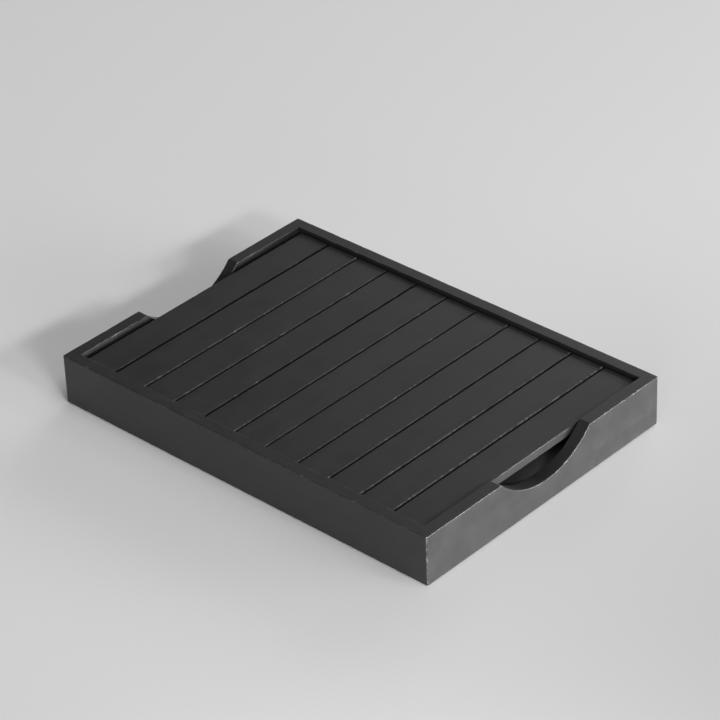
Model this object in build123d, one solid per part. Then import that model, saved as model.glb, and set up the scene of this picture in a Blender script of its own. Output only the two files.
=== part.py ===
from build123d import *
import os

# A gongfu tea tray: a mitred box frame, a slatted deck that lifts out of it, and a drip tray under the deck.
# Millimetres, +Z up, +X along the tray's length, origin at the middle of the underside.
# All lengths below are free sizes; everything else is worked out from them.

# Frame
tray_length = 350.0
tray_width = 250.0
rail_height = 40.0
rail_thickness = 9.5
rail_arris = 0.6
corner_arris = 1.2

# Finger cutouts in the two end rails: an arc of a circle, with rounded corners at the rim
cutout_radius = 63.7
cutout_depth = 21.3
cutout_corner_radius = 2.5

# Splines hidden in the mitred corners
spline_thickness = 2.0
spline_width = 7.0
spline_end_cover = 6.0
spline_clearance = 0.1

# Bottom panel, held in a groove round the frame
panel_thickness = 3.0
panel_recess = 3.0
groove_depth = 4.0
groove_clearance = 0.15
panel_edge_gap = 0.5

# Anti-slip pads under the front and back rails
pad_thickness = 0.8
pad_edge_margin = 0.75
pad_end_distance = 16.0

# Ledges that carry the slats' ends
ledge_width = 8.0
ledge_height = 8.0
ledge_end_gap = 0.5
ledge_arris = 0.5
ledge_screw_count = 5
ledge_screw_bite = 5.0

# Deck of slats, which lies loose: at rest it is off the middle, to the right, by a share of its end gap
rim_above_deck = 3.0
deck_end_gap = 3.0
deck_rest_share = 0.4
deck_side_gap = 1.5
slat_count = 11
slat_gap = 2.0
slat_thickness = 6.7
slat_arris = 0.5

# Battens under the slats
batten_width = 16.0
batten_height = 6.0
batten_end_inset = 5.0
batten_arris = 0.8
batten_spacing_share = 0.64
deck_screw_bite = 4.2

# Countersunk wood screws, the same size in the ledges and in the deck
screw_radius = 1.3
screw_head_radius = 2.6
screw_head_height = 1.5
screw_tip_length = 1.6
screw_slot_width = 0.6
screw_slot_depth = 0.7
screw_hole_clearance = 0.06

# Drip tray
pan_side_clearance = 2.0
pan_rim_below_cutout = 1.5
pan_wall = 1.5
pan_side_rim_width = 3.0
pan_end_rim_width = 20.0
pan_corner_radius = 14.0
pan_foot_step = 1.5
pan_edge_round = 0.5

# One overrun for every cut that runs past a face
cut_overrun = 1.0

# Heights that follow from the sizes
rail_bottom = pad_thickness
rail_top = rail_bottom + rail_height
deck_top = rail_top - rim_above_deck
deck_underside = deck_top - slat_thickness
batten_underside = deck_underside - batten_height
panel_bottom = rail_bottom + panel_recess
panel_top = panel_bottom + panel_thickness
cutout_lowest = rail_top - cutout_depth
pan_top = cutout_lowest - pan_rim_below_cutout

# Plan sizes that follow from the sizes
inner_length = tray_length - 2 * rail_thickness
inner_width = tray_width - 2 * rail_thickness
deck_length = inner_length - 2 * deck_end_gap
deck_width = inner_width - 2 * deck_side_gap
deck_x = deck_rest_share * deck_end_gap
slat_width = (deck_length - (slat_count - 1) * slat_gap) / slat_count
slat_pitch = slat_width + slat_gap
batten_length = deck_length - 2 * batten_end_inset
batten_y = batten_spacing_share * deck_width / 2
ledge_length = inner_length - 2 * ledge_end_gap
pan_length = inner_length - 2 * pan_side_clearance
pan_width = inner_width - 2 * (ledge_width + pan_side_clearance)

on_base = (Align.CENTER, Align.CENTER, Align.MIN)
under_top = (Align.CENTER, Align.CENTER, Align.MAX)


def block(length, width, height, x, y, z):
    """A box that stands on the height z with its middle at x, y."""
    return Pos(x, y, z) * Box(length, width, height, align=on_base)


def is_rim_edge(edge):
    """Whether an edge of the plain ring runs along its rim, on the outer or the inner side."""
    upright = edge.geom_type == GeomType.LINE and abs((edge @ 1).Z - (edge @ 0).Z) > rail_height / 2
    run_along_x = abs((edge @ 1).X - (edge @ 0).X)
    across_rail = edge.length < rail_thickness + rail_arris and run_along_x > edge.length / 2
    round_corner = abs(edge.center().Y) > inner_width / 2
    at_bottom = edge.center().Z < rail_bottom + rail_arris
    return not (upright or at_bottom or (across_rail and not round_corner))


def frame_ring():
    """The frame as one closed ring, with its cutouts, rounded arrises and panel groove."""
    ring = block(tray_length, tray_width, rail_height, 0, 0, rail_bottom)
    ring = fillet(ring.edges().filter_by(Axis.Z), corner_arris)
    ring -= block(inner_length, inner_width, rail_height, 0, 0, rail_bottom)
    arc_height = cutout_lowest + cutout_radius
    ring -= Pos(0, 0, arc_height) * Rot(0, 90, 0) * Cylinder(cutout_radius, tray_length + cut_overrun)
    cutout_corners = [
        edge
        for edge in ring.edges().filter_by(Axis.X)
        if edge.length < rail_thickness + cut_overrun and edge.center().Z > rail_top - rail_arris
    ]
    ring = fillet(cutout_corners, cutout_corner_radius)
    ring = fillet([edge for edge in ring.edges() if is_rim_edge(edge)], rail_arris)
    groove_height = panel_thickness + groove_clearance
    groove_length = inner_length + 2 * groove_depth
    groove_width = inner_width + 2 * groove_depth
    return ring - block(groove_length, groove_width, groove_height, 0, 0, panel_bottom)


def mitre_prism(half_run, half_across, turn):
    """The space of one rail: a prism between the two mitre planes at its ends."""
    depth = rail_thickness + cut_overrun
    outline = Polyline(
        (half_run + cut_overrun, half_across + cut_overrun),
        (half_run - depth, half_across - depth),
        (depth - half_run, half_across - depth),
        (-half_run - cut_overrun, half_across + cut_overrun),
        close=True,
    )
    return Pos(0, 0, rail_bottom) * Rot(0, 0, turn) * extrude(make_face(outline), rail_height)


def corner_splines(clearance):
    """The four splines, or with a clearance the slots that they sit in, by corner name."""
    distance = rail_thickness / 2
    bottom = panel_top + spline_end_cover - clearance
    height = rail_top - spline_end_cover + clearance - bottom
    splines = {}
    for y_name, y_side in (("front", -1), ("back", 1)):
        for x_name, x_side in (("left", -1), ("right", 1)):
            width = spline_width + 2 * clearance
            thickness = spline_thickness + 2 * clearance
            board = Box(width, thickness, height, align=on_base)
            x = x_side * (tray_length / 2 - distance)
            y = y_side * (tray_width / 2 - distance)
            turn = -45 * x_side * y_side
            splines[f"{y_name}_{x_name}_corner_spline"] = Pos(x, y, bottom) * Rot(0, 0, turn) * board
    return splines


def screw(length):
    """A countersunk wood screw with its head's flat at the origin, pointing down."""
    head = Cone(screw_radius, screw_head_radius, screw_head_height, align=under_top)
    shank = Cylinder(screw_radius, length - screw_tip_length, align=under_top)
    tip = Cone(0, screw_radius, screw_tip_length, align=under_top)
    solid = head + shank + Pos(0, 0, screw_tip_length - length) * tip
    slot = Box(2 * screw_radius, screw_slot_width, screw_slot_depth, align=under_top)
    return solid - slot - Rot(0, 0, 90) * slot


def screw_hole(length):
    """The countersunk hole for such a screw."""
    head = Cone(
        screw_radius + screw_hole_clearance,
        screw_head_radius + screw_hole_clearance,
        screw_head_height,
        align=under_top,
    )
    return head + Cylinder(screw_radius + screw_hole_clearance, length, align=under_top)


def pad_places():
    """Where the four pads sit, by name."""
    x = tray_length / 2 - pad_end_distance
    y = tray_width / 2 - rail_thickness / 2
    return {
        "front_left_foot_pad": (-x, -y),
        "front_right_foot_pad": (x, -y),
        "back_left_foot_pad": (-x, y),
        "back_right_foot_pad": (x, y),
    }


def ledge_screw_places(y_side):
    """The places of one ledge's screws: heads on its inner side, points into the rail."""
    pitch = ledge_length / ledge_screw_count
    first = -(ledge_screw_count - 1) * pitch / 2
    y = y_side * (inner_width / 2 - ledge_width)
    z = deck_underside - ledge_height / 2
    return [Pos(first + i * pitch, y, z) * Rot(90 * y_side, 0, 0) for i in range(ledge_screw_count)]


def ledge(y_side):
    """A strip along a long rail that carries the slats' ends."""
    y = y_side * (inner_width - ledge_width) / 2
    strip = block(ledge_length, ledge_width, ledge_height, 0, y, deck_underside - ledge_height)
    inner_edges = strip.edges().filter_by(Axis.X).sort_by(lambda edge: y_side * edge.center().Y)[:2]
    return fillet(inner_edges, ledge_arris)


def slat_x(i):
    """The middle of a slat, counted from the left end."""
    return deck_x + (i - (slat_count - 1) / 2) * slat_pitch


def deck_screw_place(y_side, i):
    """The place of the screw that goes up through one batten into one slat."""
    return Pos(slat_x(i), y_side * batten_y, batten_underside) * Rot(180, 0, 0)


def slat(i):
    """One slat, with its upper edges eased and blind holes for its two screws."""
    board = block(slat_width, deck_width, slat_thickness, slat_x(i), 0, deck_underside)
    board = fillet(board.faces().sort_by(Axis.Z)[-1].edges(), slat_arris)
    return board - [deck_screw_place(y_side, i) * screw_hole(deck_screw_length) for y_side in (-1, 1)]


def batten(y_side):
    """A strip under the slats, with a countersunk hole below each of them."""
    strip = block(batten_length, batten_width, batten_height, deck_x, y_side * batten_y, batten_underside)
    strip = chamfer(strip.faces().sort_by(Axis.Z)[0].edges(), batten_arris)
    return strip - [deck_screw_place(y_side, i) * screw_hole(deck_screw_length) for i in range(slat_count)]


def rounded_plate(length, width, radius, height, z):
    """A plate with rounded corners that stands on the height z."""
    return Pos(0, 0, z) * extrude(RectangleRounded(length, width, radius), height)


def drip_tray():
    """A shallow pan: a floor, walls that lean out a little and a flat rim, broad at both ends."""
    wall_length = pan_length - 2 * pan_end_rim_width
    wall_width = pan_width - 2 * pan_side_rim_width
    wall_radius = pan_corner_radius - pan_side_rim_width

    def lean_block(inset, z_low, z_high):
        """A loft between the pan's foot and its mouth, set in by the wall where asked."""
        sections = []
        for step, z in ((pan_foot_step, z_low), (0, z_high)):
            grow = 2 * (inset + step)
            corner = wall_radius - inset - step
            sections.append(Pos(0, 0, z) * RectangleRounded(wall_length - grow, wall_width - grow, corner))
        return loft(sections)

    shell = lean_block(0, panel_top, pan_top)
    shell = fillet(shell.faces().sort_by(Axis.Z)[0].edges(), pan_edge_round)
    rim = rounded_plate(pan_length, pan_width, pan_corner_radius, pan_wall, pan_top - pan_wall)
    hollow = lean_block(pan_wall, panel_top + pan_wall, pan_top)
    return shell + rim - hollow


deck_screw_length = batten_height + deck_screw_bite
ledge_screw_length = ledge_width + ledge_screw_bite

nodes = {}

# Frame: the ring is parted at its mitres, then slotted for the splines
ring = frame_ring()
slots = list(corner_splines(spline_clearance).values())
rails = {
    "front_rail": mitre_prism(tray_length / 2, tray_width / 2, 180),
    "back_rail": mitre_prism(tray_length / 2, tray_width / 2, 0),
    "left_end_rail": mitre_prism(tray_width / 2, tray_length / 2, 90),
    "right_end_rail": mitre_prism(tray_width / 2, tray_length / 2, -90),
}
ledge_screw_holes = {
    "front": [place * screw_hole(ledge_screw_length) for place in ledge_screw_places(-1)],
    "back": [place * screw_hole(ledge_screw_length) for place in ledge_screw_places(1)],
}
for name, prism in rails.items():
    rail = (ring & prism) - slots
    side = name.split("_")[0]
    if side in ledge_screw_holes:
        rail -= ledge_screw_holes[side]
    nodes[name] = rail
nodes.update(corner_splines(0))

panel_length = inner_length + 2 * (groove_depth - panel_edge_gap)
panel_width = inner_width + 2 * (groove_depth - panel_edge_gap)
nodes["bottom_panel"] = block(panel_length, panel_width, panel_thickness, 0, 0, panel_bottom)

pad_radius = rail_thickness / 2 - pad_edge_margin
for name, (x, y) in pad_places().items():
    nodes[name] = Pos(x, y, 0) * Cylinder(pad_radius, pad_thickness, align=on_base)

for side, y_side in (("front", -1), ("back", 1)):
    nodes[f"{side}_ledge"] = ledge(y_side) - ledge_screw_holes[side]
    nodes[f"{side}_ledge_screws"] = Compound(
        children=[place * screw(ledge_screw_length) for place in ledge_screw_places(y_side)]
    )

# Drip tray
nodes["drip_tray"] = drip_tray()

# Deck
for i in range(slat_count):
    nodes[f"slat_{i + 1:02d}"] = slat(i)
for side, y_side in (("front", -1), ("back", 1)):
    nodes[f"{side}_batten"] = batten(y_side)
    nodes[f"{side}_batten_screws"] = Compound(
        children=[deck_screw_place(y_side, i) * screw(deck_screw_length) for i in range(slat_count)]
    )

os.makedirs("parts", exist_ok=True)
for name, solid in nodes.items():
    export_step(solid, f"parts/{name}.step")
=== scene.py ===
import logging
import math
from dataclasses import dataclass, field
from enum import Enum

import bmesh
import bpy
import numpy as np
from mathutils import Matrix, Vector


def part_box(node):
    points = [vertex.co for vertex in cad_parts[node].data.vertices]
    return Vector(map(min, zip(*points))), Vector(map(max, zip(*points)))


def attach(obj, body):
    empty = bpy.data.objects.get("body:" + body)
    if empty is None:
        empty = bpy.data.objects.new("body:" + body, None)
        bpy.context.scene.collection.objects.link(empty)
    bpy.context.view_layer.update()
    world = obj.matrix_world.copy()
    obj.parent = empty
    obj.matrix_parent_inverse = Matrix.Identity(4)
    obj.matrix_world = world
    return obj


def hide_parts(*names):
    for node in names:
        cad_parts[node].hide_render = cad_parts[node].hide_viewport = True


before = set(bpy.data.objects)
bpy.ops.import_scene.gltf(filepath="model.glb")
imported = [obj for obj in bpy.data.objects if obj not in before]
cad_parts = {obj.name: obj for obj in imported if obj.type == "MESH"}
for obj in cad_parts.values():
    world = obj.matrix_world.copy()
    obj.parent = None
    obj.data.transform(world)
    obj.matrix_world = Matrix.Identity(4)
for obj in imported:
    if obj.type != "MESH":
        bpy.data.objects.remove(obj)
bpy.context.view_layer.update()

log = logging.getLogger("tea_tray")
MM = 0.001
QUARTER_TURN = math.pi / 2
SHARP_ANGLE = math.radians(35)

Colour = tuple[float, float, float]


class Grain(Enum):
    """The axis that a board's grain runs along."""

    ALONG_X = 0
    ALONG_Y = 1


class Side(Enum):
    """A side of the tray: the turn that brings a rail from the front to it, in quarter turns."""

    FRONT = 0
    RIGHT = 1
    BACK = 2
    LEFT = 3

    @property
    def crosswise(self) -> bool:
        """Whether the rail on this side runs from front to back."""
        return self in (Side.RIGHT, Side.LEFT)


class Socket:
    """A shader value that can be used in Python arithmetic; each operator adds one Math node."""

    def __init__(self, graph: "Graph", socket: bpy.types.NodeSocket) -> None:
        """Wraps the output socket of a node that stands in the graph."""
        self.graph = graph
        self.socket = socket

    def _math(self, operation: str, first: "Socket | float", second: "Socket | float") -> "Socket":
        """Adds a Math node on two values.

        Args:
            operation: the Math node's operation.
            first: its first value.
            second: its second value.

        Returns:
            The result as a wrapped socket.
        """
        node = self.graph.node("ShaderNodeMath", {"operation": operation}, {0: first, 1: second})
        return Socket(self.graph, node.outputs[0])

    def __add__(self, other: "Socket | float") -> "Socket":
        """self + other."""
        return self._math("ADD", self, other)

    def __radd__(self, other: float) -> "Socket":
        """other + self."""
        return self._math("ADD", other, self)

    def __sub__(self, other: "Socket | float") -> "Socket":
        """self - other."""
        return self._math("SUBTRACT", self, other)

    def __rsub__(self, other: float) -> "Socket":
        """other - self."""
        return self._math("SUBTRACT", other, self)

    def __mul__(self, other: "Socket | float") -> "Socket":
        """self * other."""
        return self._math("MULTIPLY", self, other)

    def __rmul__(self, other: float) -> "Socket":
        """other * self."""
        return self._math("MULTIPLY", other, self)

    def __pow__(self, other: "Socket | float") -> "Socket":
        """self ** other."""
        return self._math("POWER", self, other)


class Graph:
    """A material's node tree, cleared and ready for new nodes."""

    def __init__(self, tree: bpy.types.NodeTree) -> None:
        """Takes over a node tree and empties it."""
        tree.nodes.clear()
        self.tree = tree

    def node(self, kind: str, settings: dict | None = None, inputs: dict | None = None) -> bpy.types.Node:
        """Adds any node.

        Args:
            kind: the node's type name.
            settings: its properties by name, set first.
            inputs: values or wrapped sockets, by socket name or number.

        Returns:
            The new node.
        """
        node = self.tree.nodes.new(kind)
        for name, value in (settings or {}).items():
            setattr(node, name, value)
        for name, value in (inputs or {}).items():
            if isinstance(value, Socket):
                self.tree.links.new(value.socket, node.inputs[name])
            else:
                node.inputs[name].default_value = value
        return node

    def output(self, node: bpy.types.Node, name: str | int = 0) -> Socket:
        """One output of a node, wrapped."""
        return Socket(self, node.outputs[name])

    def object_place(self, scale: Vector, shift: Socket | None = None) -> Socket:
        """The point on the piece in object coordinates, stretched, and shifted from board to board.

        Args:
            scale: repeats per metre along X, Y and Z.
            shift: an amount that slides the pattern, a different one for each board.

        Returns:
            The stretched place, to feed a texture.
        """
        place = self.output(self.node("ShaderNodeTexCoord"), "Object")
        stretched = self.vector_math("MULTIPLY", place, scale)
        return stretched if shift is None else self.vector_math("ADD", stretched, shift)

    def vector_math(self, operation: str, first: Socket, second: Socket | Vector) -> Socket:
        """Adds a Vector Math node on two values."""
        return self.output(self.node("ShaderNodeVectorMath", {"operation": operation}, {0: first, 1: second}))

    def noise(self, place: Socket, detail: float, roughness: float, distortion: float = 0.0) -> Socket:
        """Smooth noise from 0 to 1.

        Args:
            place: the stretched place, with one repeat for each unit.
            detail: how many finer layers lie on it.
            roughness: how strong each finer layer is next to the one before.
            distortion: how far the pattern is bent.

        Returns:
            The noise.
        """
        inputs = {
            "Vector": place, "Scale": 1.0, "Detail": detail, "Roughness": roughness, "Distortion": distortion,
        }
        return self.output(self.node("ShaderNodeTexNoise", {"noise_dimensions": "3D"}, inputs), "Fac")

    def attribute(self, name: str) -> Socket:
        """A number that the mesh carries at each point."""
        return self.output(self.node("ShaderNodeAttribute", {"attribute_name": name}), "Fac")

    def smooth_step(self, value: Socket, low: float, high: float) -> Socket:
        """0 below low, 1 above high, and a smooth rise between them."""
        inputs = {"Value": value, "From Min": low, "From Max": high, "To Min": 0.0, "To Max": 1.0}
        return self.output(self.node("ShaderNodeMapRange", {"interpolation_type": "SMOOTHSTEP"}, inputs))

    def mix_colour(self, factor: Socket, first: Socket | Colour, second: Socket | Colour) -> Socket:
        """The first colour where factor is 0, the second where it is 1: a Mix node's inputs 6 and 7."""
        inputs = {0: factor, 6: self._opaque(first), 7: self._opaque(second)}
        return self.output(self.node("ShaderNodeMix", {"data_type": "RGBA"}, inputs), 2)

    @staticmethod
    def _opaque(colour: Socket | Colour) -> Socket | tuple[float, ...]:
        """A plain colour with full alpha, or a socket as it is."""
        return colour if isinstance(colour, Socket) else (*colour, 1.0)

    def bump(self, height: Socket, strength: float, distance: float) -> Socket:
        """A normal bent by a height map.

        Args:
            height: the height, in shares of the distance.
            strength: how much of it shows.
            distance: the height of 1, in metres.

        Returns:
            The bent normal.
        """
        inputs = {"Height": height, "Strength": strength, "Distance": distance}
        return self.output(self.node("ShaderNodeBump", None, inputs), "Normal")

    def surface(self, inputs: dict) -> None:
        """Ends the graph in a Principled shader with these inputs."""
        shader = self.output(self.node("ShaderNodeBsdfPrincipled", None, inputs))
        self.node("ShaderNodeOutputMaterial", None, {"Surface": shader})


@dataclass(frozen=True)
class StainedWood:
    """Wood stained right through to near black, under a thin satin or matt coat.

    Colours are linear; fibre and figure sizes are the length of one repeat, across and along the grain.
    """

    name: str
    grain: Grain
    dark: Colour = (0.018, 0.018, 0.0184)
    light: Colour = (0.027, 0.0268, 0.027)
    # lighter tone of rubbed bare wood, also laid along the arrises as a painted highlight
    bared_and_highlight: Colour = (0.2, 0.188, 0.176)
    fibre_size: tuple[float, float] = (0.9 * MM, 38 * MM)
    figure_size: tuple[float, float] = (14 * MM, 120 * MM)
    haze_size: float = 16 * MM
    bared_and_highlight_patches_per_metre: float = 420.0
    fibre_tone: float = 0.45
    figure_tone: float = 0.75
    pore_tone: float = 0.25
    haze_tone: float = 0.9
    tone_shift: float = 0.1
    roughness: float = 0.38
    fibre_roughness: float = 0.1
    pore_roughness: float = 0.12
    haze_roughness: float = 0.14
    pore_depth: float = 0.6
    bump_height: float = 0.06 * MM
    wear_and_highlight: float = 0.85

    def _scale(self, size: tuple[float, float]) -> Vector:
        """Repeats per metre along X, Y and Z.

        Args:
            size: the length of one repeat, across and along the grain.

        Returns:
            The repeats.
        """
        repeats = [1 / size[0]] * 3
        repeats[self.grain.value] = 1 / size[1]
        return Vector(repeats)

    def build(self) -> bpy.types.Material:
        """Makes the material.

        Fine fibres and a slow figure, both stretched along the grain, shift the tone and the gloss. Thin
        dark pores are the lowest parts of the fibres. A faint haze from handling lies over them. Where the
        mesh's mask marks an arris, patches of it get a lighter tone: partly bare wood rubbed through the
        stain, partly a painted highlight along the arris.

        Returns:
            The material.
        """
        material = new_material(self.name)
        graph = Graph(material.node_tree)
        shift = graph.attribute("board")
        fibres = graph.noise(graph.object_place(self._scale(self.fibre_size), shift), 4.0, 0.62)
        figure = graph.noise(graph.object_place(self._scale(self.figure_size), shift), 2.0, 0.5, 0.4)
        pores = 1.0 - graph.smooth_step(fibres, 0.28, 0.42)
        haze = graph.noise(graph.object_place(even_scale(1 / self.haze_size), shift), 3.0, 0.6) - 0.5
        patches = graph.noise(graph.object_place(even_scale(self.bared_and_highlight_patches_per_metre), shift), 3.0, 0.65)
        # lighter patches along the arrises: partly rubbed bare wood, partly a painted highlight
        bared_and_highlight = graph.attribute("wear_and_highlight") ** 1.5 * graph.smooth_step(patches, 0.4, 0.62) * self.wear_and_highlight
        tone = fibres * self.fibre_tone + figure * self.figure_tone - pores * self.pore_tone
        tone = tone + haze * self.haze_tone - self.tone_shift
        stained = graph.mix_colour(graph.smooth_step(tone, 0.1, 0.9), self.dark, self.light)
        dullness = fibres * self.fibre_roughness + pores * self.pore_roughness + haze * self.haze_roughness
        graph.surface({
            "Base Color": graph.mix_colour(bared_and_highlight, stained, self.bared_and_highlight),
            "Roughness": dullness + (self.roughness - self.fibre_roughness / 2),
            "Normal": graph.bump(fibres - pores * self.pore_depth, 0.5, self.bump_height),
            "IOR": 1.44,
        })
        return material


@dataclass(frozen=True)
class MouldedPlastic:
    """Matt black plastic with the fine spark grain of its mould."""

    name: str
    dark: Colour = (0.046, 0.046, 0.047)
    light: Colour = (0.064, 0.064, 0.066)
    grain_size: float = 0.45 * MM
    cloud_size: float = 32 * MM
    mark_tone: float = 0.7
    grain_tone: float = 0.3
    roughness: float = 0.42
    mark_roughness: float = 0.07
    grain_roughness: float = 0.06
    bump_height: float = 0.05 * MM

    def build(self) -> bpy.types.Material:
        """Makes the material: fine even grain in the normal, faint clouds of dried water in tone and gloss.

        Returns:
            The material.
        """
        material = new_material(self.name)
        graph = Graph(material.node_tree)
        grain = graph.noise(graph.object_place(even_scale(1 / self.grain_size)), 2.0, 0.6)
        clouds = graph.noise(graph.object_place(even_scale(1 / self.cloud_size)), 4.0, 0.55, 0.8)
        marks = graph.smooth_step(clouds, 0.34, 0.72)
        tone = marks * self.mark_tone + grain * self.grain_tone
        graph.surface({
            "Base Color": graph.mix_colour(tone, self.dark, self.light),
            "Roughness": marks * self.mark_roughness + grain * self.grain_roughness + self.roughness,
            "Normal": graph.bump(grain, 0.6, self.bump_height),
            "IOR": 1.49,
        })
        return material


@dataclass(frozen=True)
class PadRubber:
    """Dull black rubber with a slightly open surface."""

    name: str
    dark: Colour = (0.016, 0.016, 0.016)
    light: Colour = (0.035, 0.034, 0.033)
    pore_size: float = 0.3 * MM
    roughness: float = 0.78
    pore_roughness: float = 0.1
    bump_height: float = 0.04 * MM

    def build(self) -> bpy.types.Material:
        """Makes the material: small pores in tone, gloss and normal.

        Returns:
            The material.
        """
        material = new_material(self.name)
        graph = Graph(material.node_tree)
        pores = graph.noise(graph.object_place(even_scale(1 / self.pore_size)), 3.0, 0.6)
        graph.surface({
            "Base Color": graph.mix_colour(pores, self.dark, self.light),
            "Roughness": pores * self.pore_roughness + self.roughness,
            "Normal": graph.bump(pores, 0.5, self.bump_height),
            "IOR": 1.5,
        })
        return material


@dataclass(frozen=True)
class ZincSteel:
    """Zinc-plated steel with turning marks and duller patches."""

    name: str
    dark: Colour = (0.42, 0.41, 0.38)
    light: Colour = (0.62, 0.6, 0.55)
    patch_size: float = 1.6 * MM
    fine_share: float = 1 / 9
    roughness: float = 0.2
    patch_roughness: float = 0.25
    fine_roughness: float = 0.1
    bump_height: float = 0.02 * MM

    def build(self) -> bpy.types.Material:
        """Makes the material: patchy plating in tone and gloss, and a fine grain in the normal.

        Returns:
            The material.
        """
        material = new_material(self.name)
        graph = Graph(material.node_tree)
        patches = graph.noise(graph.object_place(even_scale(1 / self.patch_size)), 3.0, 0.6)
        fine = graph.noise(graph.object_place(even_scale(1 / (self.patch_size * self.fine_share))), 2.0, 0.6)
        graph.surface({
            "Base Color": graph.mix_colour(patches, self.dark, self.light),
            "Metallic": 1.0,
            "Roughness": patches * self.patch_roughness + fine * self.fine_roughness + self.roughness,
            "Normal": graph.bump(fine, 0.3, self.bump_height),
        })
        return material


def even_scale(repeats: float) -> Vector:
    """The same number of repeats per metre along X, Y and Z."""
    return Vector([repeats] * 3)


def new_material(name: str) -> bpy.types.Material:
    """A node material with nothing set yet.

    Args:
        name: the material's name.

    Returns:
        The material.
    """
    material = bpy.data.materials.new(name)
    material.use_nodes = True
    return material


def closed_surface(
    name: str, rings: np.ndarray, wear_and_highlight: np.ndarray | None, board: float
) -> bpy.types.Object:
    """A closed solid from a grid of rings.

    Point (i, j) is joined to (i + 1, j) and to (i, j + 1), round each ring. The first and the last ring
    are flat and are closed by one face each.

    Args:
        name: the piece's name.
        rings: the points, as (rings, points round a ring, 3), in metres.
        wear_and_highlight: how much rubbed bare tone and painted highlight each point has, from 0 to 1, as
            (rings, points round a ring).
        board: the number that shifts the material's pattern on this piece.

    Returns:
        The object, at the origin.
    """
    count, around = rings.shape[:2]
    index = np.arange(count * around).reshape(count, around)
    low, high = index[:-1], index[1:]
    quads = np.stack([low, np.roll(low, -1, 1), np.roll(high, -1, 1), high], -1).reshape(-1, 4)
    faces = quads.tolist() + [index[0][::-1].tolist(), index[-1].tolist()]
    mesh = bpy.data.meshes.new(name)
    mesh.from_pydata(rings.reshape(-1, 3).tolist(), [], faces)
    add_attribute(mesh, "wear_and_highlight", np.zeros(count * around) if wear_and_highlight is None else wear_and_highlight.ravel())
    add_attribute(mesh, "board", np.full(count * around, board))
    point_outwards(mesh)
    mesh.shade_smooth()
    mesh.set_sharp_from_angle(angle=SHARP_ANGLE)
    piece = bpy.data.objects.new(name, mesh)
    bpy.context.scene.collection.objects.link(piece)
    normals = piece.modifiers.new("even_normals", "WEIGHTED_NORMAL")
    normals.keep_sharp = True
    return piece


def add_attribute(mesh: bpy.types.Mesh, name: str, values: np.ndarray) -> None:
    """Stores a number at each point of a mesh."""
    layer = mesh.attributes.new(name, "FLOAT", "POINT")
    layer.data.foreach_set("value", values.astype(np.float32))


def point_outwards(mesh: bpy.types.Mesh) -> None:
    """Turns all faces of a closed mesh outwards.

    Args:
        mesh: the mesh, changed in place.
    """
    work = bmesh.new()
    work.from_mesh(mesh)
    bmesh.ops.recalc_face_normals(work, faces=work.faces)
    work.to_mesh(mesh)
    work.free()


def waves(places: np.ndarray, lengths: tuple[float, ...], rng: np.random.Generator) -> np.ndarray:
    """A smooth uneven line from -1 to 1: the mean of sines of these wavelengths, each with a random phase."""
    phases = rng.uniform(0, 2 * math.pi, len(lengths))
    return np.mean([np.sin(2 * math.pi * places / w + p) for w, p in zip(lengths, phases)], axis=0)


def nicks(places: np.ndarray, count: int, width: float, rng: np.random.Generator) -> np.ndarray:
    """Small knocks along an arris: the largest of a few narrow bells exp(-x^2) at random places.

    Args:
        places: the places along the arris, in metres.
        count: how many knocks it has.
        width: about how wide a knock is.
        rng: the source of their places, sizes and widths.

    Returns:
        The knocks' height at each place, from 0 to 1.
    """
    centres = rng.uniform(places.min(), places.max(), count)
    sizes = rng.uniform(0.4, 1.0, count)
    widths = rng.uniform(0.5, 1.6, count) * width
    bells = sizes * np.exp(-(((places[:, None] - centres) / widths) ** 2))
    return bells.max(1)


def dress(piece: bpy.types.Object, material: bpy.types.Material) -> None:
    """Gives a piece its only material.

    Args:
        piece: the object to dress.
        material: what it is made of.
    """
    piece.data.materials.clear()
    piece.data.materials.append(material)


def dress_node(name: str, material: bpy.types.Material) -> None:
    """Gives a CAD node that stays in view its material.

    Args:
        name: the node's name.
        material: what it is made of.
    """
    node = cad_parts[name]
    dress(node, material)
    log.info("dressed %s with %s", name, material.name)


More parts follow.
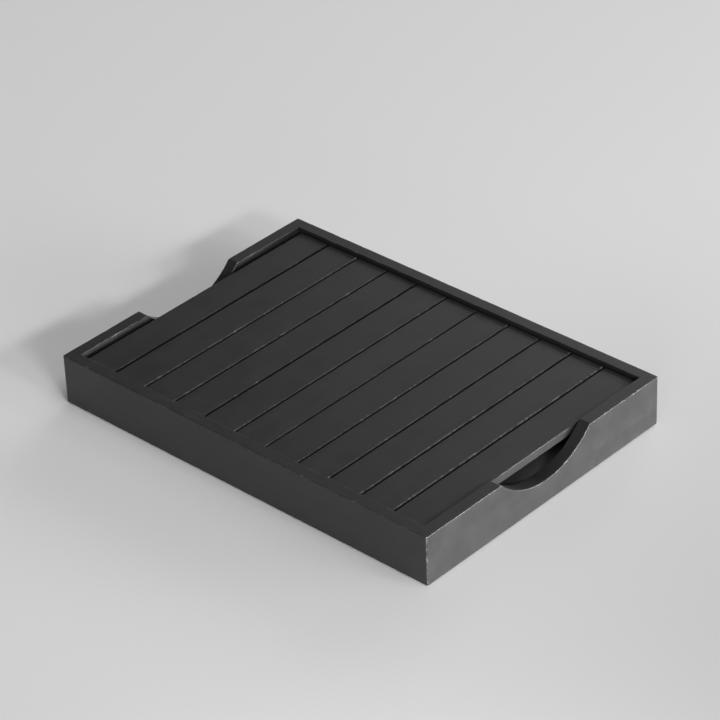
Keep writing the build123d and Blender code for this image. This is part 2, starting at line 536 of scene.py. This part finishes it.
@dataclass
class BoxFrame:
    """The tray's frame: four mitred rails, two of them with a finger cutout, and what they hold.

    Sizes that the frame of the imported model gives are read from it; the rest are fields, in metres.
    """

    cutout_radius: float = 63.7 * MM
    cutout_depth: float = 21.3 * MM
    cutout_corner: float = 2.5 * MM
    arris: float = 0.55 * MM
    inner_arris_share: float = 0.5
    low_arris: float = 0.35 * MM
    corner_arris: float = 1.2 * MM
    groove_depth: float = 4.0 * MM
    groove_slack: float = 0.15 * MM
    knocks: int = 9
    knock_width: float = 1.4 * MM
    knock_share: float = 0.7
    wave_lengths: tuple[float, ...] = (71 * MM, 23 * MM, 9.7 * MM)
    wave_share: float = 0.18
    # the level and the waviness of the mask for rubbed bare patches and painted highlight along the arrises
    even_wear_and_highlight: float = 0.2
    wear_and_highlight_waves: float = 0.3
    first_seed: int = 100
    board_shift: float = 3.7
    pad_foot_round_share: float = 0.45
    arc_steps: int = 6
    plain_steps: int = 141
    cutout_steps: tuple[int, int, int] = (48, 9, 42)
    pad_steps: int = 48
    length: float = field(init=False)
    width: float = field(init=False)
    thickness: float = field(init=False)
    low: float = field(init=False)
    top: float = field(init=False)

    def __post_init__(self) -> None:
        """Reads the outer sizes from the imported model."""
        rail_low, rail_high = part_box("right_end_rail")
        self.length = 2 * rail_high.x
        self.thickness = rail_high.x - rail_low.x
        self.width = 2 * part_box("back_rail")[1].y
        self.low = rail_low.z
        self.top = rail_high.z

    def build(self) -> None:
        """Builds and dresses every piece of the frame."""
        long_wood = StainedWood("long_rail_wood", Grain.ALONG_X).build()
        end_wood = StainedWood("end_rail_wood", Grain.ALONG_Y).build()
        for number, (name, side) in enumerate((
            ("front_rail", Side.FRONT),
            ("right_end_rail", Side.RIGHT),
            ("back_rail", Side.BACK),
            ("left_end_rail", Side.LEFT),
        )):
            rings, wear_and_highlight = self.rail_points(side, np.random.default_rng(self.first_seed + number))
            rail = closed_surface(name + "_wood", rings, wear_and_highlight, self.board_shift * number)
            dress(rail, end_wood if side.crosswise else long_wood)
            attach(rail, "frame")
            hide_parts(name)
            log.info("built %s, %d points", rail.name, len(rail.data.vertices))
        self.build_pads()
        matt = StainedWood("ledge_wood", Grain.ALONG_X, roughness=0.6, wear_and_highlight=0.0).build()
        panel = StainedWood(
            "panel_wood", Grain.ALONG_X, roughness=0.62, figure_size=(30 * MM, 200 * MM)
        ).build()
        bare = StainedWood(
            "spline_wood", Grain.ALONG_X, dark=(0.3, 0.19, 0.09), light=(0.5, 0.36, 0.2), roughness=0.6
        ).build()
        steel = ZincSteel("frame_screw_steel").build()
        dress_node("bottom_panel", panel)
        for side in ("front", "back"):
            dress_node(f"{side}_ledge", matt)
            dress_node(f"{side}_ledge_screws", steel)
            for end in ("left", "right"):
                dress_node(f"{side}_{end}_corner_spline", bare)

    def cutout_bounds(self) -> tuple[float, float]:
        """Where the cutout's arc ends and where the level rim starts, from the rail's middle.

        The small circle that rounds the corner touches the arc from outside and the level rim from below, so
        its centre lies the sum of both radii away from the arc's centre.

        Returns:
            The end of the arc and the start of the level rim.
        """
        ring, corner = self.cutout_radius, self.cutout_corner
        level_from = math.sqrt((ring + corner) ** 2 - (ring - self.cutout_depth + corner) ** 2)
        return level_from * ring / (ring + corner), level_from

    def rim_line(self, along: np.ndarray) -> tuple[np.ndarray, np.ndarray]:
        """The rim of an end rail, with its cutout.

        In the middle the rim is the lower arc of the cutout's circle. Towards each side a small circle rounds
        the corner. Beyond, the rim is level.

        Args:
            along: places along the rail, from its middle.

        Returns:
            The rim's height at each place, and the cosine of its slope.
        """
        ring, corner = self.cutout_radius, self.cutout_corner
        arc_to, level_from = self.cutout_bounds()
        centre = self.top - self.cutout_depth + ring
        y = np.abs(along)
        inner = np.clip(y, 0, arc_to)
        outer = np.clip(level_from - y, 0, level_from - arc_to)
        arc_height = centre - np.sqrt(ring**2 - inner**2)
        corner_height = self.top - corner + np.sqrt(corner**2 - outer**2)
        height = np.where(y < arc_to, arc_height, np.where(y < level_from, corner_height, self.top))
        sine = np.where(y < arc_to, inner / ring, np.where(y < level_from, outer / corner, 0.0))
        return height, np.sqrt(1 - sine**2)

    def stations(self, straight: float, cut: bool) -> np.ndarray:
        """Places along the straight part of a rail, closer together in the cutout and in its corners.

        Args:
            straight: the length of half of that part.
            cut: whether the rail has the cutout.

        Returns:
            The places, from the rail's middle.
        """
        if not cut:
            return np.linspace(-straight, straight, self.plain_steps)
        arc_to, level_from = self.cutout_bounds()
        arc_steps, corner_steps, level_steps = self.cutout_steps
        half = np.concatenate([
            np.linspace(0, arc_to, arc_steps, endpoint=False),
            np.linspace(arc_to, level_from, corner_steps, endpoint=False),
            np.linspace(level_from, straight, level_steps),
        ])
        return np.concatenate([-half[:0:-1], half])

    def section(self) -> tuple[np.ndarray, ...]:
        """One turn round a rail's section, from the lower outer corner over the top and back.

        Each point is (distance from the outer face, height), written as a fixed part plus a share of the
        height of the rim above the rail's foot, plus a share of the arris, so that the same section fits any
        rim.

        Returns:
            Arrays of distance, fixed height, rim share, arris share across, arris share up, and the share of
            the mask for rubbed bare patches and painted highlight.
        """
        quarter = np.linspace(0, QUARTER_TURN, self.arc_steps)
        sine, cosine = np.sin(quarter), np.cos(quarter)
        panel_low, panel_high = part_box("bottom_panel")
        groove_low, groove_high = panel_low.z - self.low, panel_high.z + self.groove_slack - self.low
        outer_shares, top_shares = (0.1, 0.35, 0.65, 0.9, 0.97), (0.2, 0.5, 0.8)
        inner_shares = (0.93, 0.8, 0.6)
        low_wear, upper_wear_and_highlight = 0.4, 0.5 + sine * cosine
        turns, upper_turns = list(zip(sine, cosine)), list(zip(sine, cosine, upper_wear_and_highlight))
        thick, low, inner = self.thickness, self.low_arris, self.inner_arris_share
        bottom = thick - self.groove_depth
        rows: list[tuple[float, ...]] = []
        rows += [(low * (1 - s), low * (1 - c), 0, 0, 0, low_wear) for s, c in turns]
        rows += [(0, 0, share, 0, 0, 0) for share in outer_shares]
        rows += [(0, 0, 1, 1 - c, s - 1, wear_and_highlight) for s, c, wear_and_highlight in upper_turns]
        rows += [(thick * share, 0, 1, 0, 0, 0) for share in top_shares]
        rows += [(thick, 0, 1, inner * (s - 1), inner * (c - 1), wear_and_highlight) for s, c, wear_and_highlight in upper_turns]
        rows += [(thick, 0, share, 0, 0, 0) for share in inner_shares]
        rows += [(across, groove_high, 0, 0, 0, 0) for across in (thick, bottom)]
        rows += [(across, groove_low, 0, 0, 0, 0) for across in (bottom, thick)]
        rows += [(thick - low * (1 - c), low * (1 - s), 0, 0, 0, low_wear) for s, c in turns]
        return tuple(np.array(column, float) for column in zip(*rows))

    def rail_points(self, side: Side, rng: np.random.Generator) -> tuple[np.ndarray, np.ndarray]:
        """The surface of one rail as a grid: round its section, and along it from mitre to mitre.

        The section is carried along the rail. At each end its outer part follows the rounded corner of the
        frame, by an eighth of a turn about the corner's centre, and its inner part runs straight, so that
        both end in the mitre plane. The rim's height, and the arris in it, change along the rail.

        Args:
            side: which rail.
            rng: the source of its small unevenness.

        Returns:
            The grid of points and, at each of them, the mask for rubbed bare patches and painted highlight.
        """
        half_run = (self.width if side.crosswise else self.length) / 2
        half_across = (self.length if side.crosswise else self.width) / 2
        straight = half_run - self.thickness - self.corner_arris
        along = self.stations(straight, side.crosswise)
        height, slope = np.full(len(along), self.top), np.ones(len(along))
        if side.crosswise:
            height, slope = self.rim_line(along)
        distance, fixed, rim_share, across_share, up_share, wear_and_highlight_share = self.section()

        knocks = nicks(along, self.knocks, self.knock_width, rng)[:, None]
        uneven = waves(along, self.wave_lengths, rng)[:, None]
        arris = self.arris * (1 + self.wave_share * uneven + self.knock_share * knocks)
        rim = (height - self.low)[:, None]
        d = distance + across_share * arris
        z = self.low + fixed + rim_share * rim + up_share * arris / slope[:, None]
        wear_and_highlight = wear_and_highlight_share * np.clip(self.even_wear_and_highlight + self.wear_and_highlight_waves * uneven + knocks, 0, 1)

        tails = []
        for end in (-1, 1):
            row = 0 if end < 0 else -1
            steps = np.linspace(0, 1, self.arc_steps)[:, None]
            radius = np.clip(self.corner_arris - d[row], 0, None)
            turn = steps * QUARTER_TURN / 2
            curved = d[row] < self.corner_arris
            run_start = np.where(curved, half_run - self.corner_arris, straight)
            run_length = np.where(curved, radius * np.sin(turn), (half_run - d[row] - run_start) * steps)
            run = run_start + run_length
            inset = np.where(curved, self.corner_arris - radius * np.cos(turn), d[row])
            tail_z = np.broadcast_to(z[row], run.shape)
            tail = np.stack([end * run, inset, tail_z], -1)
            # painted highlight: where the section follows the rounded vertical corner, the mask rises along
            # the turn to full at the mitre, a lighter line down the corner
            tail_wear_and_highlight = np.maximum(wear_and_highlight[row], np.where(curved, steps, 0.0))
            tails.append((tail[::-1], tail_wear_and_highlight[::-1]) if end < 0 else (tail, tail_wear_and_highlight))
        core = np.stack([np.broadcast_to(along[:, None], d.shape), d, z], -1)
        grid = np.concatenate([tails[0][0], core[1:-1], tails[1][0]])
        wear_and_highlight = np.concatenate([tails[0][1], wear_and_highlight[1:-1], tails[1][1]])

        local = np.stack([grid[..., 0], grid[..., 1] - half_across, grid[..., 2]], -1)
        turn = side.value * QUARTER_TURN
        cos, sin = round(math.cos(turn)), round(math.sin(turn))
        turned = np.stack([
            cos * local[..., 0] - sin * local[..., 1],
            sin * local[..., 0] + cos * local[..., 1],
            local[..., 2],
        ], -1)
        return turned, wear_and_highlight

    def build_pads(self) -> None:
        """Builds the four pads, each a short round disc with a rounded foot."""
        rubber = PadRubber("pad_rubber").build()
        for y_name in ("front", "back"):
            for x_name in ("left", "right"):
                name = f"{y_name}_{x_name}_foot_pad"
                low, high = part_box(name)
                pad = closed_surface(name + "_rubber", self.pad_points(low, high), None, low.x)
                dress(pad, rubber)
                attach(pad, "frame")
                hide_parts(name)
                log.info("built %s", pad.name)

    def pad_points(self, low: Vector, high: Vector) -> np.ndarray:
        """A disc turned about its axis: radius and height of its profile, carried round a circle.

        Args:
            low: the pad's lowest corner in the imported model.
            high: its highest corner.

        Returns:
            The grid of points, one ring for each point of the profile.
        """
        centre, radius, height = (low + high) / 2, (high.x - low.x) / 2, high.z - low.z
        quarter = np.linspace(0, QUARTER_TURN, self.arc_steps)
        round_off, chamfer, middle = self.pad_foot_round_share * height, 0.1 * height, 0.4 * radius
        radii = np.concatenate([
            [middle],
            radius - round_off + round_off * np.sin(quarter),
            [radius, radius - chamfer],
        ])
        heights = np.concatenate([
            [low.z],
            low.z + round_off - round_off * np.cos(quarter),
            [high.z - chamfer, high.z],
        ])
        turn = np.linspace(0, 2 * math.pi, self.pad_steps, endpoint=False)
        x = centre.x + radii[:, None] * np.cos(turn)
        y = centre.y + radii[:, None] * np.sin(turn)
        return np.stack([x, y, np.broadcast_to(heights[:, None], x.shape)], -1)


@dataclass
class SlattedDeck:
    """The deck that lifts out: slats across the tray on two battens, screwed from below.

    The deck is laid by hand: each slit has its own offset from its even place and its own width, and each
    slat its own upper right arris, all in millimetres.
    """

    slit_offsets: tuple[float, ...] = (-0.55, 0.2, 0.0, -0.1, 0.15, -0.15, 0.75, 0.3, 0.1, 0.0)
    slit_widths: tuple[float, ...] = (2.5, 1.9, 1.9, 2.15, 1.85, 1.6, 1.85, 2.0, 2.1, 2.1)
    arrises: tuple[float, ...] = (0.45, 0.7, 0.62, 0.48, 0.62, 0.5, 0.62, 0.62, 0.75, 0.85, 0.5)
    left_arris: float = 0.45 * MM
    low_arris: float = 0.3 * MM
    knocks: int = 7
    knock_width: float = 1.1 * MM
    knock_share: float = 0.6
    wave_lengths: tuple[float, ...] = (83 * MM, 31 * MM, 13 * MM, 5.3 * MM)
    wave_share: float = 0.3
    crown: float = 0.1 * MM
    ripple: float = 0.012 * MM
    ripple_lengths: tuple[float, ...] = (3.1 * MM, 1.9 * MM, 4.7 * MM)
    wander: float = 1.2 * MM
    wander_lengths: tuple[float, ...] = (190 * MM, 74 * MM)
    # the lighter tone grows with an arris's radius: partly rubbing, partly a painted highlight that makes
    # larger arrises read brighter
    bareness_and_highlight_per_mm: float = 1.5
    bared_and_highlight_from: float = 0.5
    first_seed: int = 500
    board_shift: float = 5.3
    first_board: float = 1.1
    arc_steps: int = 6
    top_columns: int = 40
    rows: int = 130

    def build(self) -> None:
        """Builds and dresses every piece of the deck."""
        slat_wood = StainedWood("slat_wood", Grain.ALONG_Y).build()
        batten_wood = StainedWood("batten_wood", Grain.ALONG_X, roughness=0.6, wear_and_highlight=0.0).build()
        steel = ZincSteel("deck_screw_steel").build()
        names = sorted(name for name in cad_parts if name.startswith("slat_"))
        for number, name in enumerate(names):
            rng = np.random.default_rng(self.first_seed + number)
            low, high = self.laid_box(number, *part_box(name))
            rings, wear_and_highlight = self.slat_points(low, high, self.arrises[number] * MM, rng)
            board = self.board_shift * number + self.first_board
            slat = closed_surface(name + "_wood", rings, wear_and_highlight, board)
            dress(slat, slat_wood)
            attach(slat, "deck")
            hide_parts(name)
            log.info("built %s, %d points", slat.name, len(slat.data.vertices))
        for side in ("front", "back"):
            dress_node(f"{side}_batten", batten_wood)
            dress_node(f"{side}_batten_screws", steel)

    def laid_box(self, number: int, low: Vector, high: Vector) -> tuple[Vector, Vector]:
        """A slat's box with its two long edges moved to the slits beside it.

        Args:
            number: which slat, from the left.
            low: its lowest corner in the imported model.
            high: its highest corner.

        Returns:
            The moved corners.
        """
        low, high = low.copy(), high.copy()
        even = (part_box("slat_02")[0].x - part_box("slat_01")[1].x) / 2
        if number > 0:
            low.x += (self.slit_offsets[number - 1] + self.slit_widths[number - 1] / 2) * MM - even
        if number < len(self.slit_offsets):
            high.x += (self.slit_offsets[number] - self.slit_widths[number] / 2) * MM + even
        return low, high

    def section(self) -> tuple[np.ndarray, ...]:
        """One turn round a slat's section, as a core rectangle plus a circle of the arris radius.

        Returns:
            Arrays of the core's place across and up and the circle's direction across and up, each from -1
            to 1, and the share of the mask for rubbed bare patches and painted highlight.
        """
        rows: list[tuple[float, float, float, float, float]] = []
        flats = {
            0: [(k, 1, 0, 1, 0) for k in np.linspace(1, -1, self.top_columns + 2)[1:-1]],
            1: [(-1, k, -1, 0, 0) for k in (0.6, -0.6)],
            2: [(k, -1, 0, -1, 0) for k in (-0.5, 0, 0.5)],
            3: [(1, k, 1, 0, 0) for k in (-0.6, 0.6)],
        }
        for quarter, (kx, kz) in enumerate(((1, 1), (-1, 1), (-1, -1), (1, -1))):
            for angle in np.linspace(0, QUARTER_TURN, self.arc_steps):
                turn = quarter * QUARTER_TURN + angle
                rows.append((kx, kz, math.cos(turn), math.sin(turn), 0.5 + 0.5 * math.sin(2 * angle)))
            rows += flats[quarter]
        return tuple(np.array(column, float) for column in zip(*rows))

    def slat_points(
        self, low: Vector, high: Vector, arris: float, rng: np.random.Generator
    ) -> tuple[np.ndarray, np.ndarray]:
        """The surface of one slat as a grid: round its section, and along it from end to end.

        A point is a core box plus a ball of the arris radius: across and up it is the core's place plus the
        radius times the direction times the cosine of the end's turn, and along it is the core's place plus
        the radius times the sine. The upper arrises grow and shrink along the slat, with small nicks. The top
        is crowned by a parabola and carries faint ripples that run along the grain and wander slowly.

        Args:
            low: the slat's lowest corner, as laid.
            high: its highest corner.
            arris: the radius of its upper right arris.
            rng: the source of its small unevenness.

        Returns:
            The grid of points and, at each of them, the mask for rubbed bare patches and painted highlight.
        """
        centre, half = (low + high) / 2, (high - low) / 2
        kx, kz, cx, cz, wear_and_highlight_share = self.section()
        quarter = np.linspace(0, QUARTER_TURN, self.arc_steps)
        end_turn = np.concatenate([-quarter[::-1], np.zeros(self.rows - 2), quarter])
        core_share = np.concatenate([
            np.full(self.arc_steps, -1.0),
            np.linspace(-1, 1, self.rows)[1:-1],
            np.full(self.arc_steps, 1.0),
        ])
        along = core_share * half.y

        edges = []
        for size in (arris, self.left_arris):
            knocks = nicks(along, self.knocks, self.knock_width, rng)
            uneven = waves(along, self.wave_lengths, rng)
            # painted highlight: a larger arris gets more of the lighter tone, on top of the rubbing that its
            # waves and nicks give
            bareness_and_highlight = self.bareness_and_highlight_per_mm * size / MM - self.bared_and_highlight_from + self.wave_share * uneven + knocks
            edges.append((size * (1 + self.wave_share * uneven + self.knock_share * knocks), bareness_and_highlight))
        right = (kx > 0)[None, :]
        grow = np.where(right, edges[0][0][:, None], edges[1][0][:, None])
        worn_and_highlight = np.where(right, edges[0][1][:, None], edges[1][1][:, None])
        upper = (kz > 0)[None, :]
        radius = np.where(upper, grow, self.low_arris)

        ball = radius * np.cos(end_turn)[:, None]
        x = kx * (half.x - radius) + cx * ball
        z = kz * (half.z - radius) + cz * ball
        y = core_share * (half.y - self.low_arris) + self.low_arris * np.sin(end_turn)
        wander = self.wander * waves(along, self.wander_lengths, rng)[:, None]
        ripples = waves(x + wander, self.ripple_lengths, rng) - 1
        lowered = self.crown * (x / half.x) ** 2 - self.ripple * ripples
        z = z - np.where((kz > 0) & (cz > 0.5), lowered * np.clip(cz, 0, 1), 0)
        points = np.stack([centre.x + x, centre.y + np.broadcast_to(y[:, None], x.shape), centre.z + z], -1)
        wear_and_highlight = np.where(upper, wear_and_highlight_share * np.clip(worn_and_highlight, 0, 1), 0.0)
        return points, wear_and_highlight


@dataclass
class DripTray:
    """The shallow pan under the deck: one moulded shell with a flat rim, broad at both ends."""

    wall: float = 1.5 * MM
    side_rim: float = 3.0 * MM
    end_rim: float = 20.0 * MM
    corner: float = 14.0 * MM
    foot_step: float = 1.5 * MM
    foot_round: float = 1.2 * MM
    mouth_round: float = 0.8 * MM
    floor_round: float = 2.4 * MM
    arc_steps: int = 7
    corner_steps: int = 12

    def build(self) -> None:
        """Builds and dresses the pan."""
        pan = closed_surface("drip_tray_shell", self.pan_points(*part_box("drip_tray")), None, 0.0)
        dress(pan, MouldedPlastic("pan_plastic").build())
        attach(pan, "drip_tray")
        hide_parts("drip_tray")
        log.info("built %s, %d points", pan.name, len(pan.data.vertices))

    def profile(self, low: float, high: float) -> tuple[np.ndarray, np.ndarray, np.ndarray]:
        """The pan's profile at its sides, from its underside out, over the rim and down to its floor.

        Each stretch is a straight line to the next quarter or half turn, a circle's (1 - cosine, 1 - sine).

        Args:
            low: the height of its underside.
            high: the height of its rim.

        Returns:
            How far each point is set in from the rim's outline, its height, and 1 where it belongs to the
            well, which is shorter than the rim by what the rim is broader at the ends, or else 0.
        """
        quarter = np.linspace(0, QUARTER_TURN, self.arc_steps)
        sine, cosine = np.sin(quarter), np.cos(quarter)
        foot = self.side_rim + self.foot_step
        under = high - self.wall
        edge = self.wall / 2
        half_turn = np.linspace(-QUARTER_TURN, QUARTER_TURN, 2 * self.arc_steps)
        mouth = self.side_rim + self.wall
        floor_edge, floor = foot + self.wall, low + self.wall
        well, rim = np.ones(self.arc_steps), np.zeros(2 * self.arc_steps)
        underside, inside = foot + 4 * self.foot_round, floor_edge + 3 * self.floor_round
        parts = [
            ([underside], [low], [1]),
            (foot + self.foot_round * (1 - sine), low + self.foot_round * (1 - cosine), well),
            (self.side_rim - self.mouth_round * (1 - cosine), under - self.mouth_round * (1 - sine), well),
            (edge * (1 - np.cos(half_turn)), under + edge * (1 + np.sin(half_turn)), rim),
            (mouth - self.mouth_round * (1 - sine), high - self.mouth_round * (1 - cosine), well),
            (floor_edge + self.floor_round * (1 - cosine), floor + self.floor_round * (1 - sine), well),
            ([inside], [floor], [1]),
        ]
        return tuple(np.concatenate(column) for column in zip(*parts))

    def pan_points(self, low: Vector, high: Vector) -> np.ndarray:
        """The profile carried round a rectangle with rounded corners, with the well shorter than the rim.

        A point is a corner's centre plus the direction of the turn times what is left of the corner's radius.

        Args:
            low: the pan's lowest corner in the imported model.
            high: its highest corner.

        Returns:
            The grid of points, one ring for each point of the profile.
        """
        inset, height, in_well = self.profile(low.z, high.z)
        half = (high - low) / 2
        directions, signs = [], []
        for quarter, sign in enumerate(((1, 1), (-1, 1), (-1, -1), (1, -1))):
            turn = quarter * QUARTER_TURN + np.linspace(0, QUARTER_TURN, self.corner_steps)
            directions.append(np.stack([np.cos(turn), np.sin(turn)], -1))
            signs.append(np.broadcast_to(np.array(sign, float), directions[-1].shape))
        direction, sign = np.concatenate(directions), np.concatenate(signs)
        shorter = (in_well * (self.end_rim - self.side_rim))[:, None] * np.array([1.0, 0.0])
        core = sign * (np.array([half.x, half.y]) - self.corner - shorter[:, None])
        plan = core + direction * (self.corner - inset)[:, None, None]
        z = np.broadcast_to(height[:, None, None], (*plan.shape[:2], 1))
        return np.concatenate([plan, z], -1)


@dataclass(frozen=True)
class Lamp:
    """A soft rectangular lamp, aimed at the tray.

    Azimuth counts in degrees from the tray's right end towards its back; elevation is above the floor.
    """

    name: str
    azimuth: float
    elevation: float
    distance: float
    width: float
    height: float
    watts: float

    def build(self) -> None:
        """Hangs the lamp at its place and turns it to the tray; the camera doesn't see it."""
        a, e = math.radians(self.azimuth), math.radians(self.elevation)
        place = Vector((math.cos(e) * math.cos(a), math.cos(e) * math.sin(a), math.sin(e))) * self.distance
        lamp = bpy.data.lights.new(self.name, "AREA")
        lamp.shape = "RECTANGLE"
        lamp.size, lamp.size_y = self.width, self.height
        lamp.energy = self.watts
        holder = bpy.data.objects.new(self.name, lamp)
        holder.location = place
        holder.rotation_euler = (place * -1).to_track_quat("-Z", "Y").to_euler()
        holder.visible_camera = False
        bpy.context.scene.collection.objects.link(holder)


@dataclass
class Studio:
    """The plain floor, the soft light and the camera.

    The lamps' strengths and the floor's two tones were fitted to the photograph's tones.
    """

    azimuth: float = 43.411
    elevation: float = 33.182
    roll: float = -2.338
    distance: float = 2367.9 * MM
    target: tuple[float, float, float] = (-24.62 * MM, 29.15 * MM, 20.8 * MM)
    lens: float = 162.15
    sensor_width: float = 36.0
    clip_start: float = 0.05
    clip_end: float = 60.0
    floor_half: float = 12.0
    # painted light: the floor's colour is darker near the window and lighter away from it, offsetting the
    # lamps' fall-off
    floor_near_window_painted_darker: Colour = (0.51, 0.51, 0.512)
    floor_far_painted_lighter: Colour = (0.9, 0.9, 0.902)
    window_slant: float = 0.33
    tone_from: float = -0.2
    tone_to: float = 0.6
    world_strength: float = 0.12
    lamps: tuple[Lamp, ...] = (
        Lamp("window_left", -23.0, 24.4, 6.0, 1.3, 0.35, 106.0),
        Lamp("window_middle", -2.0, 25.6, 6.0, 1.1, 0.35, 69.0),
        Lamp("window_right", 16.0, 22.4, 6.0, 0.84, 0.3, 27.0),
        Lamp("wall_bounce", 45.0, 8.0, 10.0, 5.8, 1.7, 180.0),
        Lamp("ceiling_bounce", 0.0, 68.0, 12.0, 8.0, 6.0, 326.0),
        Lamp("backdrop", 100.0, 18.0, 6.0, 3.5, 1.5, 80.0),
        Lamp("backdrop_left", 118.0, 20.0, 6.0, 3.0, 1.8, 28.0),
        Lamp("end_bounce", 26.0, 1.5, 2.5, 1.4, 0.1, 112.0),
        Lamp("floor_glow", 10.0, 1.1, 1.0, 0.7, 0.03, 9.0),
        Lamp("front_bounce", -44.0, 12.0, 0.7, 0.3, 0.15, 1.4),
    )

    def build(self) -> None:
        """Sets up the floor, the lights, the world and the camera."""
        self.build_floor()
        self.build_world()
        for lamp in self.lamps:
            lamp.build()
        self.build_camera()

    def build_floor(self) -> None:
        """A pale matt floor, wide enough for any view, whose tone rises a little away from the window:
        painted light that offsets the lamps' fall-off.
        """
        half = self.floor_half
        mesh = bpy.data.meshes.new("floor")
        corners = [(-half, -half, 0), (half, -half, 0), (half, half, 0), (-half, half, 0)]
        mesh.from_pydata(corners, [], [(0, 1, 2, 3)])
        floor = bpy.data.objects.new("floor", mesh)
        bpy.context.scene.collection.objects.link(floor)
        material = new_material("floor_paper")
        graph = Graph(material.node_tree)
        place = graph.node("ShaderNodeSeparateXYZ", None, {0: graph.object_place(even_scale(1.0))})
        # painted light: the colour rises away from the window, offsetting the lamps' fall-off
        towards_window = graph.output(place, "X") - graph.output(place, "Y") * self.window_slant
        nearness = graph.smooth_step(towards_window, self.tone_from, self.tone_to)
        tone = graph.mix_colour(nearness, self.floor_far_painted_lighter, self.floor_near_window_painted_darker)
        graph.surface({"Base Color": tone, "Roughness": 0.95, "Specular IOR Level": 0.2})
        mesh.materials.append(material)

    def build_world(self) -> None:
        """An even pale surround; glossy and camera rays see it too."""
        world = bpy.data.worlds.new("studio_world")
        world.use_nodes = True
        graph = Graph(world.node_tree)
        inputs = {"Color": (1.0, 1.0, 1.0, 1.0), "Strength": self.world_strength}
        background = graph.node("ShaderNodeBackground", None, inputs)
        graph.node("ShaderNodeOutputWorld", None, {"Surface": graph.output(background)})
        bpy.context.scene.world = world

    def build_camera(self) -> None:
        """The photograph's camera: aimed at the target from its azimuth and elevation, then rolled."""
        lens = bpy.data.cameras.new("photo_camera")
        lens.lens = self.lens
        lens.sensor_width = self.sensor_width
        lens.clip_start, lens.clip_end = self.clip_start, self.clip_end
        camera = bpy.data.objects.new("photo_camera", lens)
        a, e = math.radians(self.azimuth), math.radians(self.elevation)
        back = Vector((math.sin(a) * math.cos(e), -math.cos(a) * math.cos(e), math.sin(e)))
        turn = (back * -1).to_track_quat("-Z", "Y").to_matrix()
        roll = Matrix.Rotation(math.radians(self.roll), 3, back)
        camera.matrix_world = Matrix.LocRotScale(
            Vector(self.target) + back * self.distance, (roll @ turn).to_quaternion(), None
        )
        bpy.context.scene.collection.objects.link(camera)
        bpy.context.scene.camera = camera


def main() -> None:
    """Builds the tray's three sub-assemblies and the studio, in order."""
    logging.basicConfig(level=logging.INFO, format="%(message)s")
    bpy.context.scene.view_settings.view_transform = "Standard"
    BoxFrame().build()
    DripTray().build()
    SlattedDeck().build()
    Studio().build()


if __name__ == "__main__":
    main()
